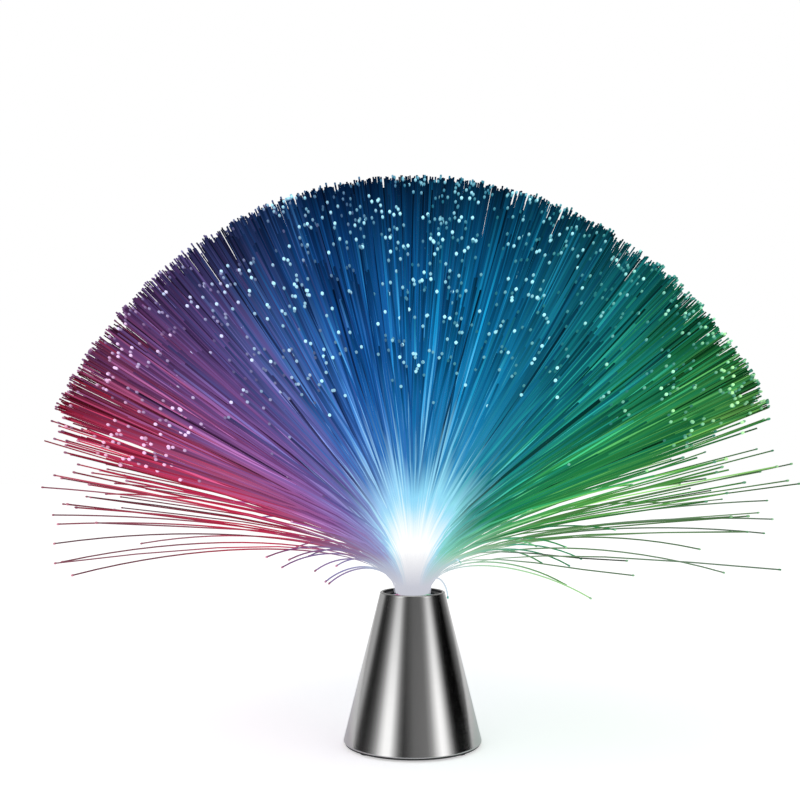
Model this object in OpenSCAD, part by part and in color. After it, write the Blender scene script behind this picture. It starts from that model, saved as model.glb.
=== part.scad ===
// Fibre optic lamp: a steel cone with batteries and three coloured lights inside,
// and a spray of light-carrying fibres that stands in its mouth.
// Millimetres, +Z up. The origin is on the table, below the middle of the lamp.

/* [Steel cone] */
// Diameter over the rolled edge at the foot
cone_base_d = 80; // [79:0.5:100]
// Diameter at the mouth
cone_mouth_d = 38; // [37:0.5:46]
// Height of the shell
cone_h = 86; // [82:1:120]
// Thickness of the sheet steel
shell_wall = 0.8; // [0.5:0.1:1.1]
// Thickness of the rolled edge at the foot
bead_d = 2; // [1.6:0.2:2.6]
// Width of the lip that turns in at the mouth
lip_w = 1.8; // [1.5:0.1:2.2]

/* [Base plate] */
// Thickness of the plate's rim, which the rolled edge stands on
rim_t = 1; // [0.8:0.1:1.6]
// Thickness of the ledge over the battery door
ledge_t = 1.05; // [0.8:0.05:2]
// Width of the ledge that the battery door closes against
ledge_w = 2; // [1.6:0.1:2.4]
// Diameter of a rubber foot
foot_d = 7; // [5:0.5:8]
// How far the feet stand out below the plate
foot_out = 1.2; // [1:0.1:2.5]
// Depth of the recess that holds a foot
foot_recess = 0.4; // [0.3:0.1:0.8]
// Angle of the feet from the X axis
foot_angle = 40; // [38:1:44]

/* [Battery box] */
// Diameter of a battery
cell_d = 10.5; // [9.5:0.1:10.8]
// Length of a battery over its button
cell_l = 44.5; // [42:0.5:46]
// Height of the button
cell_button_h = 0.9; // [0.6:0.1:1.4]
// Space between two batteries
cell_gap = 0.4; // [0.3:0.05:0.7]
// Length of a pressed contact spring
spring_l = 6; // [5:0.25:7]
// Thickness of a spring's wire
spring_wire = 0.7; // [0.5:0.1:0.9]
// Turns of a spring
spring_turns = 3.5; // [3:0.5:4]
// Thickness of the contact plates
contact_t = 0.5; // [0.3:0.1:0.8]
// Thickness of the tray's side walls
tray_wall = 1.5; // [1.2:0.1:1.8]
// Thickness of the tray's ceiling
tray_top_t = 1.4; // [1:0.1:2]
// Thickness of the battery door
door_t = 2.4; // [2.2:0.1:3]
// Thickness of the foam pad on the door
pad_t = 1; // [0.8:0.1:1.2]
// Diameter of the door's hinge pins
pin_d = 1.4; // [1:0.1:1.6]
// Length of a hinge pin
pin_l = 1.8; // [1.4:0.1:2.4]

/* [Inner frame] */
// Thickness of the deck that presses on the battery tray
deck_t = 2; // [1.6:0.2:3]
// Diameter of a screw boss
boss_d = 7; // [6:0.25:7.5]
// Distance of the bosses from the lamp's middle along Y
boss_y = 13; // [11:0.5:15]
// Space between the tray and the bosses
boss_gap = 3.5; // [3:0.1:3.8]
// Wall of the tube that holds the ferrule
tube_wall = 2.4; // [1.8:0.1:2.8]
// Length of the tube's light chamber, from the board to the ferrule
chamber_h = 12; // [11:0.5:16]
// Height of the tube's flange under the steel lip
flange_t = 3; // [2.4:0.1:5]
// How far the black collar lies below the steel lip's underside
collar_drop = 0.4; // [0.2:0.1:1]
// Thickness of the black collar
collar_t = 1; // [0.8:0.1:1.6]

/* [Lights] */
// Diameter of a light's lens
led_d = 5; // [4:0.5:5.2]
// Height of a light's lens over its flange
led_h = 7.6; // [6:0.2:8]
// Distance between two lights
led_pitch = 6.2; // [6.1:0.1:6.6]
// Space between a light and the board
led_lift = 1; // [0.5:0.1:1.6]
// Thickness of the circuit board
board_t = 1.6; // [1:0.2:2]
// Diameter of the wires over their insulation
wire_d = 1.2; // [1:0.1:1.4]

/* [Switch] */
// Width of the slide switch across its slot
switch_w = 4.3; // [4:0.1:5]
// Length of the slide switch along its slot
switch_l = 8.6; // [8.4:0.1:9.4]
// Height of the slide switch's case
switch_h = 4.7; // [4.2:0.1:6]
// Travel of the knob
switch_travel = 2; // [1.5:0.1:2.4]
// How far the knob stands out below the plate
knob_out = 0.6; // [0.3:0.1:0.9]

/* [Fibres] */
// Diameter of the bundle inside its ferrule
bundle_d = 21.8; // [18:0.2:22]
// Wall of the ferrule
ferrule_wall = 1.5; // [1.2:0.1:1.8]
// Length of the ferrule
ferrule_l = 23.8; // [20:0.2:26]
// Rings of strands across the bundle
strand_rings = 8; // [8:1:8]
// Thickness of a strand, corner to middle
strand_r = 0.5; // [0.4:0.05:0.6]
// Reach of the strands from the mouth
spray_reach = 239; // [200:1:260]
// Steepest lean of the strands towards the front and the back
front_angle = 60; // [50:1:70]
// Steepest lean of the strands towards the sides
side_angle = 86; // [75:1:88]
// Turn of each ring of strands past the one inside it, so that no two rings line up
twist_angle = 3; // [0:0.5:4]

/* [Hidden] */
$fn = 72;
cut = 1;              // how far a cutting solid runs past the face that it cuts
fit = 0.3;            // space round pieces that drop into place
snug = 0.05;          // space round screws and pins of metal
run = 0.08;           // running clearance of the hinge pins
slide = 0.1;          // clearance round the ferrule
press = 0.2;          // space over and under the batteries
cell_side = 0.35;     // space beside the batteries

// Heights of the base, from the table up
plate_z = foot_out;
plate_t = door_t + fit / 2 + ledge_t;
plate_top = plate_z + plate_t;
shell_z = plate_z + rim_t;
shell_top = shell_z + cone_h;
bead_r = bead_d / 2;
bead_z = shell_z + bead_r;
base_r = cone_base_d / 2;
mouth_r = cone_mouth_d / 2;
round_z = shell_top - shell_wall;    // where the wall ends and the lip's bend begins
rim_r = base_r - shell_wall;
plate_r = base_r - bead_d - fit;

// Radius of the cone's outside and inside at a height
function cone_r(z) = base_r + (mouth_r - base_r) * (z - bead_z) / (round_z - bead_z);
function cone_in_r(z) = cone_r(z) - shell_wall;

// Battery box
cell_pitch = cell_d + cell_gap;
tray_in_w = 3 * cell_d + 2 * cell_gap + 2 * cell_side;
tray_in_l = cell_l + spring_l + 2 * contact_t;
tray_w = tray_in_w + 2 * tray_wall;
tray_l = tray_in_l + 2 * tray_wall;
door_top = plate_z + door_t;
cell_z = door_top + pad_t + press + cell_d / 2;
tray_top = cell_z + cell_d / 2 + press + tray_top_t;
tab_z = cell_z + cell_d / 4;
tab_w = 3;
tab_out = 3.6;                       // how far a tab stands out of the tray
tab_l = tray_wall + tab_out;

// Battery door, hinged at its -Y end
door_w = tray_in_w + 2 * ledge_w;
door_y1 = tray_in_l / 2 + ledge_w;
hinge_y = -tray_in_l / 2 - ledge_w + door_t / 2;
hinge_z = plate_z + door_t / 2;
latch_w = 10;                        // the door's latch tongue, between its two slits
latch_l = 8;
slit_w = 0.8;
groove_pitch = 1.6;
groove_depth = 0.5;
scoop_r = 6;
pad_side = 3;                        // space beside the pad

// Inner frame
deck_z = tray_top;
deck_top = deck_z + deck_t;
deck_r = cone_in_r(deck_top) - fit;
boss_x = tray_w / 2 + boss_gap + boss_d / 2;
frame_top = shell_top - shell_wall;
flange_r = cone_in_r(frame_top) - fit;
collar_r = mouth_r - lip_w - fit;
collar_top = frame_top - collar_drop;
collar_z = collar_top - collar_t;
bundle_r = bundle_d / 2;
ferrule_r = bundle_r + slide + ferrule_wall;
ferrule_top = collar_z - press;
seat_z = ferrule_top - ferrule_l;
bore_r = ferrule_r + slide;
tube_r = bore_r + tube_wall;
chamber_r = bore_r - 2.4;
board_z = seat_z - chamber_h;        // the board's upper face
board_r = bore_r - 0.2;
board_under = board_z - board_t;
wire_r = wire_d / 2;
wire_hole_r = wire_r + 0.8;
window_lift = 7;                     // from the deck to the tube's wire windows
window_z = deck_top + window_lift;
window_h = 13;
window_w = 6;
gusset_t = 1.6;
gusset_rise = 26;                    // height of a gusset at the tube
gusset_foot = 2;                     // its height at its outer end
gusset_r = deck_r - 6;

// Screws
screw_r = 1.25;
screw_head_r = 2.5;
screw_head_h = 1.6;
screw_l = 10;
head_sink = screw_head_h + 0.4;
board_screw_shank_r = 0.7;
board_screw_head_r = 1.3;
board_screw_r = bore_r - board_screw_head_r - slide;
board_screw_l = 5;

// Switch
switch_x = boss_x + 1;
switch_z = plate_z + 2;
switch_top = switch_z + switch_h;
switch_skin = 0.7;
knob_w = 2;
knob_stem_l = 1.8;
slider_w = switch_w - 2 * switch_skin - 2 * 0.15;
slider_l = switch_l - 2 * switch_skin - switch_travel - 2 * 0.3;
slider_h = 1.4;
terminal_pitch = 2.5;
terminal_h = 3;
terminal_top = switch_top + terminal_h;
knob_y = switch_travel / 2;          // the switch is on

// Springs
spring_r_cell = 2.3;
spring_r_plate = 3.6;
spring_rings = 8;
spring_sides = 6;

// Fibres
slice_t = 1.4;
spray_z = ferrule_top + slice_t;
strand_rise = 32;                    // how far a strand's root pulls it straight up
strand_run = 75;                     // how far its tip pulls it along its end
droop_angle = 12;                    // how far the flattest tips hang
reach_vary = 0.012;                  // half the spread of the strands' reach
side_short = 0.075;                  // by how much level strands are shorter
flat_short = 0.2;                    // and the lowest ones, from this lean on
flat_angle = 74;
strand_bends = [0.2, 0.5, 1];        // where along its curve a strand has a row of corners

// ---------- small helpers ----------

module disc(r, z0, z1) {
    translate([0, 0, z0]) cylinder(r = r, h = z1 - z0);
}

module ring(r_out, r_in, z0, z1) {
    difference() {
        disc(r_out, z0, z1);
        disc(r_in, z0 - cut, z1 + cut);
    }
}

// A box from its middle in x and y, and its lowest and highest z
module block(x, y, w, l, z0, z1) {
    translate([x - w / 2, y - l / 2, z0]) cube([w, l, z1 - z0]);
}

module at_corners(x, y) {
    for (sx = [-1, 1], sy = [-1, 1]) translate([sx * x, sy * y, 0]) children();
}

function unit(v) = v / norm(v);

// A smooth run through points: a cubic through each pair, four steps to a pair
function spline(p) = [for (i = [0:len(p) - 2], t = [0:0.25:(i == len(p) - 2 ? 1 : 0.99)])
    let (a = p[max(i - 1, 0)], b = p[i], c = p[i + 1], d = p[min(i + 2, len(p) - 1)])
    b + 0.5 * t * ((c - a) + t * ((2 * a - 5 * b + 4 * c - d) + t * (3 * b - a - 3 * c + d)))];

// Directions along a run of points, and a side vector that turns with them
function run_dirs(p) = [for (i = [0:len(p) - 1])
    unit(p[min(i + 1, len(p) - 1)] - p[max(i - 1, 0)])];
function run_sides(d, i, side) = i == len(d) ? [] :
    let (s = unit(side - (side * d[i]) * d[i])) concat([s], run_sides(d, i + 1, s));

// A closed tube along a run of points
module tube_along(p, r, sides, side) {
    d = run_dirs(p);
    s = run_sides(d, 0, side);
    last = (len(p) - 1) * sides;
    points = [for (i = [0:len(p) - 1], k = [0:sides - 1])
        let (a = 360 * k / sides) p[i] + r * (cos(a) * s[i] + sin(a) * cross(d[i], s[i]))];
    walls = [for (i = [0:len(p) - 2], k = [0:sides - 1])
        let (a = i * sides + k, b = i * sides + (k + 1) % sides)
        each [[a, b + sides, b], [a, a + sides, b + sides]]];
    caps = [for (k = [1:sides - 2]) each [[0, k, k + 1], [last, last + k + 1, last + k]]];
    polyhedron(points, concat(walls, caps));
}

// ---------- steel cone and its mouth ----------

module cone_shell() {
    color("silver") rotate_extrude() {
        polygon([
            [base_r, bead_z], [mouth_r, round_z],
            [mouth_r - shell_wall, round_z], [base_r - shell_wall, bead_z]]);
        translate([mouth_r - shell_wall, round_z]) intersection() {
            circle(shell_wall);
            square(shell_wall);
        }
        translate([mouth_r - lip_w, round_z]) square([lip_w - shell_wall, shell_wall]);
        translate([base_r - bead_r, bead_z]) circle(bead_r);
    }
}

module mouth_collar() {
    color("dimgray") ring(collar_r, ferrule_r + 4 * slide, collar_z, collar_top);
}

// ---------- inner frame ----------

module gusset() {
    inner_r = tube_r - deck_t / 4;
    low = deck_top - deck_t / 4;
    rotate([90, 0, 0]) linear_extrude(height = gusset_t, center = true)
        polygon([[inner_r, low], [gusset_r, low],
            [gusset_r, deck_top + gusset_foot], [inner_r, deck_top + gusset_rise]]);
}

module inner_frame() {
    color("dimgray") difference() {
        union() {
            disc(deck_r, deck_z, deck_top);
            disc(tube_r, deck_z, frame_top);
            disc(flange_r, frame_top - flange_t, frame_top);
            at_corners(boss_x, boss_y) disc(boss_d / 2, plate_top, deck_z + 0.5);
            for (a = [45:90:315]) rotate(a) gusset();
        }
        disc(bore_r, deck_z - cut, board_z);
        disc(chamber_r, board_z - cut, seat_z + cut);
        disc(bore_r, seat_z, frame_top + cut);
        disc(collar_r + slide, collar_z, frame_top + cut);
        at_corners(boss_x, boss_y) disc(screw_r + snug, plate_top - cut, deck_z);
        for (sy = [-1, 1]) translate([0, sy * board_screw_r, 0])
            disc(board_screw_shank_r + snug, board_z - cut, board_z + board_screw_l);
        for (place = wire_holes) translate(place)
            disc(wire_hole_r, deck_z - cut, deck_top + cut);
        for (a = [-90, 0]) rotate(a)
            block(tube_r, 0, 3 * tube_wall, window_w, window_z, window_z + window_h);
    }
}

// ---------- base plate, feet and screws ----------

module at_feet() {
    for (sx = [0, 1], sy = [0, 1]) mirror([sx, 0, 0]) mirror([0, sy, 0])
        rotate(foot_angle) translate([plate_r - foot_d / 2 - 0.2, 0, 0]) children();
}

module base_plate() {
    color("dimgray") difference() {
        union() {
            disc(plate_r, plate_z, plate_top);
            disc(rim_r, plate_z, shell_z);
        }
        // the door's rebate, and the way through to the batteries
        translate([-door_w / 2 - fit, hinge_y - door_t / 2 - fit, plate_z - cut])
            cube([door_w + 2 * fit, door_y1 - hinge_y + door_t / 2 + 2 * fit,
                cut + door_t + fit / 2]);
        translate([-tray_in_w / 2, hinge_y - door_t / 2 - fit, plate_z])
            cube([tray_in_w, tray_in_l / 2 - hinge_y + door_t / 2 + fit, plate_t + cut]);
        translate([0, hinge_y, hinge_z]) rotate([0, 90, 0])
            cylinder(r = pin_d / 2 + run, h = door_w + 2 * (pin_l + fit), center = true);
        // a scoop for the fingernail that opens the door
        translate([0, door_y1 + fit, plate_z]) scale([1, 0.5, 0.22]) sphere(scoop_r);
        at_feet() disc(foot_d / 2 + slide, plate_z - cut, plate_z + foot_recess);
        at_corners(boss_x, boss_y) {
            disc(screw_head_r + fit, plate_z - cut, plate_z + head_sink);
            disc(screw_r + fit, plate_z, plate_top + cut);
        }
        block(switch_x, 0, switch_w + 2 * slide, switch_l + 2 * slide, switch_z, plate_top + cut);
        block(switch_x, 0, knob_w + 2 * fit, knob_stem_l + switch_travel + 2 * fit,
            plate_z - cut, switch_z + cut);
    }
}

module rubber_feet() {
    color("gray") at_feet() disc(foot_d / 2, 0, plate_z + foot_recess);
}

module screw(head_r, head_h, shank_r, length, slot) {
    difference() {
        union() {
            disc(head_r, -head_h, 0);
            disc(shank_r, -0.1, length);
        }
        block(0, 0, head_r * 1.2, slot, -head_h - cut, -head_h * 0.4);
        block(0, 0, slot, head_r * 1.2, -head_h - cut, -head_h * 0.4);
    }
}

module plate_screws() {
    color("silver") at_corners(boss_x, boss_y) translate([0, 0, plate_z + head_sink])
        screw(screw_head_r, screw_head_h, screw_r, screw_l, 0.7);
}

// ---------- battery box ----------

module battery_tray() {
    color("dimgray") difference() {
        block(0, 0, tray_w, tray_l, plate_top, tray_top);
        block(0, 0, tray_in_w, tray_in_l, plate_top - cut, tray_top - tray_top_t);
        for (s = [-1, 1])
            block(-s * cell_pitch, s * (tray_in_l + tray_wall) / 2,
                tab_w + 2 * slide, tray_wall + cut,
                tab_z - slide, tab_z + contact_t + slide);
    }
}

// A battery in its bay, with its button towards +Y or -Y
module battery(x, way) {
    body_l = cell_l - cell_button_h;
    translate([x, way * (tray_in_l / 2 - contact_t), cell_z]) rotate([way * 90, 0, 0]) {
        disc(cell_d * 0.18, 0, cell_button_h + 0.1);
        disc(cell_d * 0.46, cell_button_h, cell_l);
        disc(cell_d / 2, cell_button_h + 0.5, cell_button_h + body_l - 0.4);
    }
}

module battery_left() {
    color("goldenrod") battery(-cell_pitch, 1);
}

module battery_middle() {
    color("goldenrod") battery(0, -1);
}

module battery_right() {
    color("goldenrod") battery(cell_pitch, 1);
}

// A spring's centre line: a cone that winds from the plate to the battery's flat end
function spring_line(x, way) = [for (i = [0:spring_turns * spring_rings])
    let (u = i / (spring_turns * spring_rings),
        r = spring_r_plate + (spring_r_cell - spring_r_plate) * u,
        a = 360 * i / spring_rings,
        reach = spring_wire / 2 + u * (spring_l - spring_wire))
    [x + r * cos(a), way * (tray_in_l / 2 - contact_t - reach), cell_z + r * sin(a)]];

module spring(x, way) {
    tube_along(spring_line(x, way), spring_wire / 2 - snug, spring_sides, [0, way, 0]);
}

module contact_springs() {
    say_spring_gap();
    color("silver") {
        spring(-cell_pitch, -1);
        spring(0, 1);
        spring(cell_pitch, -1);
    }
}

// The least gap between turns that lie next to each other, from the centre line's points
module say_spring_gap() {
    p = spring_line(0, 1);
    gaps = [for (i = [0:len(p) - 1], j = [i + spring_rings / 2:1:len(p) - 1])
        norm(p[i] - p[j]) - spring_wire];
    echo("least gap between spring turns, mm", min(gaps));
}

module contact_plate(x, way, w) {
    block(x, way * (tray_in_l - contact_t) / 2, w, contact_t,
        cell_z - cell_d * 0.4, cell_z + cell_d * 0.4);
}

module end_contacts() {
    color("silver") for (s = [-1, 1]) {
        contact_plate(-s * cell_pitch, s, cell_d * 0.8);
        block(-s * cell_pitch, s * (tray_in_l / 2 + (tab_l - contact_t) / 2),
            tab_w, tab_l + contact_t, tab_z, tab_z + contact_t);
    }
}

module link_contacts() {
    color("silver") for (s = [-1, 1])
        contact_plate(s * cell_pitch / 2, s, cell_pitch + cell_d * 0.8);
}

// ---------- battery door ----------

module battery_cover() {
    color("dimgray") difference() {
        union() {
            translate([-door_w / 2, hinge_y, plate_z])
                cube([door_w, door_y1 - hinge_y, door_t]);
            translate([0, hinge_y, hinge_z]) rotate([0, 90, 0]) {
                cylinder(r = door_t / 2, h = door_w, center = true);
                cylinder(r = pin_d / 2, h = door_w + 2 * pin_l, center = true);
            }
        }
        // slits that free the latch tongue, and its finger grooves
        for (s = [-1, 1])
            block(s * latch_w / 2, door_y1 - latch_l / 2, slit_w, latch_l + cut,
                plate_z - cut, door_top + cut);
        for (i = [1:4])
            block(0, door_y1 - groove_pitch * i, latch_w * 0.7, groove_pitch * 0.4,
                plate_z - cut, plate_z + groove_depth);
    }
}

module cover_pad() {
    pad_l = cell_l * 0.6;
    color("gray") block(0, 0, tray_in_w - 2 * pad_side, pad_l, door_top, door_top + pad_t);
}

// ---------- switch ----------

module switch_case() {
    inside = switch_z + switch_skin;
    color("silver") difference() {
        block(switch_x, 0, switch_w, switch_l, switch_z, switch_top);
        block(switch_x, 0, switch_w - 2 * switch_skin, switch_l - 2 * switch_skin,
            inside, inside + slider_h + 2 * fit);
        block(switch_x, 0, knob_w + fit, knob_stem_l + switch_travel + 2 * fit,
            switch_z - cut, inside + cut);
    }
}

module switch_terminals() {
    color("silver") for (i = [-1:1])
        block(switch_x, i * terminal_pitch, 0.5, 0.8, switch_top, terminal_top);
}

module switch_knob() {
    slider_z = switch_z + switch_skin + fit;
    color("black") {
        block(switch_x, knob_y, knob_w, knob_stem_l, plate_z - knob_out, slider_z + 0.1);
        block(switch_x, knob_y, slider_w, slider_l, slider_z, slider_z + slider_h);
    }
}

// ---------- lights and their board ----------

module led_board() {
    color("green") difference() {
        disc(board_r, board_under, board_z);
        for (sy = [-1, 1]) translate([0, sy * board_screw_r, 0])
            disc(board_screw_shank_r + slide, board_under - cut, board_z + cut);
        for (x = led_leg_places) block(x, 0, 0.8, 0.8, board_under - cut, board_z + cut);
    }
}

// A clear round-topped light, cut flat at one side of its flange
module led(x) {
    foot = board_z + led_lift;
    r = led_d / 2;
    translate([x, 0, 0]) {
        difference() {
            disc(r + 0.4, foot, foot + 1);
            block(r + 1.2, 0, 2, led_d + 2, foot - cut, foot + 1 + cut);
        }
        disc(r, foot, foot + 1 + led_h - r);
        translate([0, 0, foot + 1 + led_h - r]) sphere(r);
    }
}

module led_red() {
    color("red") led(-led_pitch);
}

module led_blue() {
    color("blue") led(0);
}

module led_green() {
    color("lime") led(led_pitch);
}

led_leg_places = [for (i = [-1:1], s = [-1, 1]) i * led_pitch + s * 1.27];

module led_legs() {
    color("silver") for (x = led_leg_places)
        block(x, 0, 0.5, 0.5, board_under - 1, board_z + led_lift);
}

module resistors() {
    color("black") for (i = [-1:1])
        block(i * led_pitch, bore_r * 0.4, 2, 1.25, board_under - 0.6, board_under);
}

module board_screws() {
    color("silver") for (sy = [-1, 1]) translate([0, sy * board_screw_r, board_under])
        screw(board_screw_head_r, 1, board_screw_shank_r, board_t + board_screw_l - 1, 0.4);
}

// ---------- wires ----------

tab_top = tab_z + contact_t;
lead_foot_y = tray_l / 2 + tab_out - tab_w * 0.4;
// Where a wire passes through the deck: half way from the tray's end to the cone
lead_exit_y = (tray_l / 2 + sqrt(pow(cone_in_r(deck_z), 2) - pow(cell_pitch, 2))) / 2;
lead_way_x = board_r * 0.68;
lead_way_y = board_r * 0.52;
lane_r = (gusset_r + deck_r) / 2;    // the wires' way round the gussets
lane_z = deck_top + 1.4;
wire_holes = [[-cell_pitch, lead_exit_y, 0], [cell_pitch, -lead_exit_y, 0],
    [switch_x, 0, 0], [switch_x, terminal_pitch, 0]];
lead_sides = 8;

// From the pack's first tab, up through the deck and round the gussets, down to the switch
red_run = spline(concat(
    [for (rise = [0, 0.6, 1.4]) [-cell_pitch, lead_foot_y, tab_top + rise * wire_d]],
    [[-cell_pitch, lead_exit_y, deck_z], [-cell_pitch, lead_exit_y, deck_top + 1]],
    [for (a = [95, 72, 45, 24]) [lane_r * cos(a), lane_r * sin(a), lane_z]],
    [for (z = [deck_top + 0.5, deck_z - 1, terminal_top + 2 * wire_d, terminal_top + wire_d,
        terminal_top]) [switch_x, terminal_pitch, z]]));

// From the pack's last tab, through the deck and the tube's window, to the board
black_run = spline(concat(
    [for (rise = [0, 0.6, 1.4]) [cell_pitch, -lead_foot_y, tab_top + rise * wire_d]],
    [[cell_pitch, -lead_exit_y, deck_z], [cell_pitch, -lead_exit_y, deck_top + 1],
        [cell_pitch * 0.8, -lead_exit_y + 4, window_z - 2.5],
        [4.5, -tube_r - 4, window_z + 2], [1, -tube_r + 1, window_z + 5],
        [0, -lead_way_y - 2, window_z + window_h - 3]],
    [for (drop = [5, 1.5, 0]) [0, -lead_way_y, board_under - drop]]));

// From the switch, through the deck and the tube's window, to the board
switch_run = spline(concat(
    [for (z = [terminal_top, terminal_top + wire_d, deck_z, deck_top + 1]) [switch_x, 0, z]],
    [[switch_x - 3, 0, window_z - 1.5],
        [tube_r + 2, 0, window_z + 3], [tube_r - 3, 0, window_z + 6],
        [lead_way_x, -1, window_z + window_h - 1]],
    [for (drop = [5, 1.5, 0]) [lead_way_x, -lead_way_y / 2, board_under - drop]]));

module lead_red() {
    color("red") tube_along(red_run, wire_r, lead_sides, [1, 0, 0]);
}

module lead_black() {
    color("black") tube_along(black_run, wire_r, lead_sides, [1, 0, 0]);
}

module lead_switch() {
    color("white") tube_along(switch_run, wire_r, lead_sides, [0, 1, 0]);
}

// ---------- ferrule, bundle and fibres ----------

module ferrule() {
    color("gainsboro") ring(ferrule_r, bundle_r + slide, seat_z, ferrule_top);
}

module fibre_bundle() {
    color("lavender") disc(bundle_r, seat_z + 0.3, ferrule_top);
}

// The slice's top is a honeycomb of triangles, with 6 * k points on the circle of ring k
function slice_point(k, j) = k == 0 ? [0, 0] :
    let (a = 60 * j / k + twist_angle * k) bundle_r * k / strand_rings * [cos(a), sin(a)];
function slice_index(k, j) = k == 0 ? 0 : 1 + 3 * k * (k - 1) + (j + 6 * k) % (6 * k);
cells = [for (k = [1:strand_rings], s = [0:5]) each concat(
    [for (i = [0:k - 1]) [[k, s * k + i], [k, s * k + i + 1], [k - 1, s * (k - 1) + i]]],
    [for (i = [0:1:k - 2]) [[k - 1, s * (k - 1) + i], [k, s * k + i + 1],
        [k - 1, s * (k - 1) + i + 1]]])];

// How far a strand leans: most at the bundle's edge, and more to the sides than to the front
function lean_most(a) = front_angle + (side_angle - front_angle) * pow(abs(cos(a)), 1.5);
function lean(u, a) = acos(1 - u * u * (1 - cos(lean_most(a))));

// How far a strand reaches, the same for opposite strands. The more it leans, the shorter.
function reach(u, a, lean) = spray_reach * (1 - reach_vary * (1 - cos(1260 * u + 6 * a)))
    * (1 - side_short * pow(sin(lean), 2))
    * (1 - flat_short * pow(max(lean - flat_angle, 0) / (90 - flat_angle), 2));

// Points of a strand in the upright plane that it stays in, [radius, height]: a cubic curve
function strand_point(p, t) = pow(1 - t, 3) * p[0] + 3 * t * pow(1 - t, 2) * p[1]
    + 3 * t * t * (1 - t) * p[2] + pow(t, 3) * p[3];
function strand_way(p, t) = unit(pow(1 - t, 2) * (p[1] - p[0])
    + 2 * t * (1 - t) * (p[2] - p[1]) + t * t * (p[3] - p[2]));
function strand_pull(r, lean, length) =
    let (root = [r, spray_z], tip = [length * sin(lean), spray_z + length * cos(lean)],
        end = lean + droop_angle * pow(lean / 90, 2))
    [root, root + [0, strand_rise], tip - strand_run * [sin(end), cos(end)], tip];

// One strand: its rows of three points after the root, which is its cell
function strand_rows(cell) =
    let (corners = [for (c = cell) slice_point(c[0], c[1])],
        middle = (corners[0] + corners[1] + corners[2]) / 3,
        r = norm(middle), a = atan2(middle[1], middle[0]), u = r / bundle_r,
        over = lean(u, a), pull = strand_pull(r, over, reach(u, a, over)))
    [for (t = strand_bends) let (p = strand_point(pull, t),
            d = strand_way(pull, t), out = [d[1], -d[0]])
        [for (c = corners) let (b = atan2(c[1] - middle[1], c[0] - middle[0]) - a,
                q = p + strand_r * cos(b) * out)
            [q[0] * cos(a) - strand_r * sin(b) * sin(a),
                q[0] * sin(a) + strand_r * sin(b) * cos(a), q[1]]]];

module fibre_spray() {
    ring_points = concat([slice_point(0, 0)],
        [for (k = [1:strand_rings], j = [0:6 * k - 1]) slice_point(k, j)]);
    n = len(ring_points);
    steps = len(strand_bends);
    rows = [for (c = cells) strand_rows(c)];
    starts = [for (i = [0:len(cells) - 1]) 2 * n + 3 * steps * i];
    points = concat([for (p = ring_points) [p[0], p[1], spray_z]],
        [for (p = ring_points) [p[0], p[1], ferrule_top]],
        [for (strand = rows, row = strand, p = row) p]);
    roots = [for (c = cells) [for (p = c) slice_index(p[0], p[1])]];
    strands = [for (i = [0:len(cells) - 1])
        each concat(
            [for (j = [0:steps - 1], k = [0:2]) let (m = (k + 1) % 3,
                    low = j == 0 ? roots[i] : [for (q = [0:2]) starts[i] + 3 * (j - 1) + q],
                    high = starts[i] + 3 * j)
                each [[low[k], high + m, low[m]], [low[k], high + k, high + m]]],
            [let (tip = starts[i] + 3 * (steps - 1)) [tip, tip + 2, tip + 1]])];
    underside = [for (c = roots) [n + c[0], n + c[1], n + c[2]]];
    edge = [for (j = [0:6 * strand_rings - 1]) let (a = slice_index(strand_rings, j),
            b = slice_index(strand_rings, j + 1))
        each [[a, b, n + b], [a, n + b, n + a]]];
    color("deepskyblue") polyhedron(points, concat(strands, underside, edge));
}

cone_shell();
mouth_collar();
inner_frame();
base_plate();
rubber_feet();
plate_screws();
battery_tray();
battery_left();
battery_middle();
battery_right();
contact_springs();
end_contacts();
link_contacts();
switch_case();
switch_terminals();
switch_knob();
led_board();
led_red();
led_blue();
led_green();
led_legs();
resistors();
board_screws();
lead_red();
lead_black();
lead_switch();
battery_cover();
cover_pad();
ferrule();
fibre_bundle();
fibre_spray();
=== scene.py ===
"""Fibre optic lamp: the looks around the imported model. Metres, +Z up, the lamp stands on z = 0."""

import math

import bpy
import numpy as np
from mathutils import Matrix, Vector


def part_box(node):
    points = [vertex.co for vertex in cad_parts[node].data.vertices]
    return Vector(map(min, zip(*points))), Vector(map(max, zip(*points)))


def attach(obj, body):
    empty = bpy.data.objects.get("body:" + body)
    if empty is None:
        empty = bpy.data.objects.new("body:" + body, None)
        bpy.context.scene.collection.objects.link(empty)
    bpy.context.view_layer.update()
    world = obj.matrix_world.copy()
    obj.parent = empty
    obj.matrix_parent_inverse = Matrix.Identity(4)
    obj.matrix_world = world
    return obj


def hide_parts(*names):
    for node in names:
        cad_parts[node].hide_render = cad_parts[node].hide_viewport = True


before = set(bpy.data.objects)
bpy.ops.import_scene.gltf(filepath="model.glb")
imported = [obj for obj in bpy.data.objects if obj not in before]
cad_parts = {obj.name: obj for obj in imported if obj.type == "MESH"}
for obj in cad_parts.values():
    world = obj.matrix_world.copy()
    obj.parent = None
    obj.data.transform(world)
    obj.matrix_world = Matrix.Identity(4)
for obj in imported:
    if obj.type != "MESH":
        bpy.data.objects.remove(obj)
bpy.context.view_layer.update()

MM = 0.001
rng = np.random.default_rng(62)

# ---------- sizes from the frame ----------

shell_low, shell_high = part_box("cone_shell")
BUNDLE_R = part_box("fibre_bundle")[1].x
SLICE_T = 1.4 * MM      # the slice of the bundle that the solid spray stands on
ROOT_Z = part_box("fibre_spray")[0].z + SLICE_T


# ---------- objects and camera ----------

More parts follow.
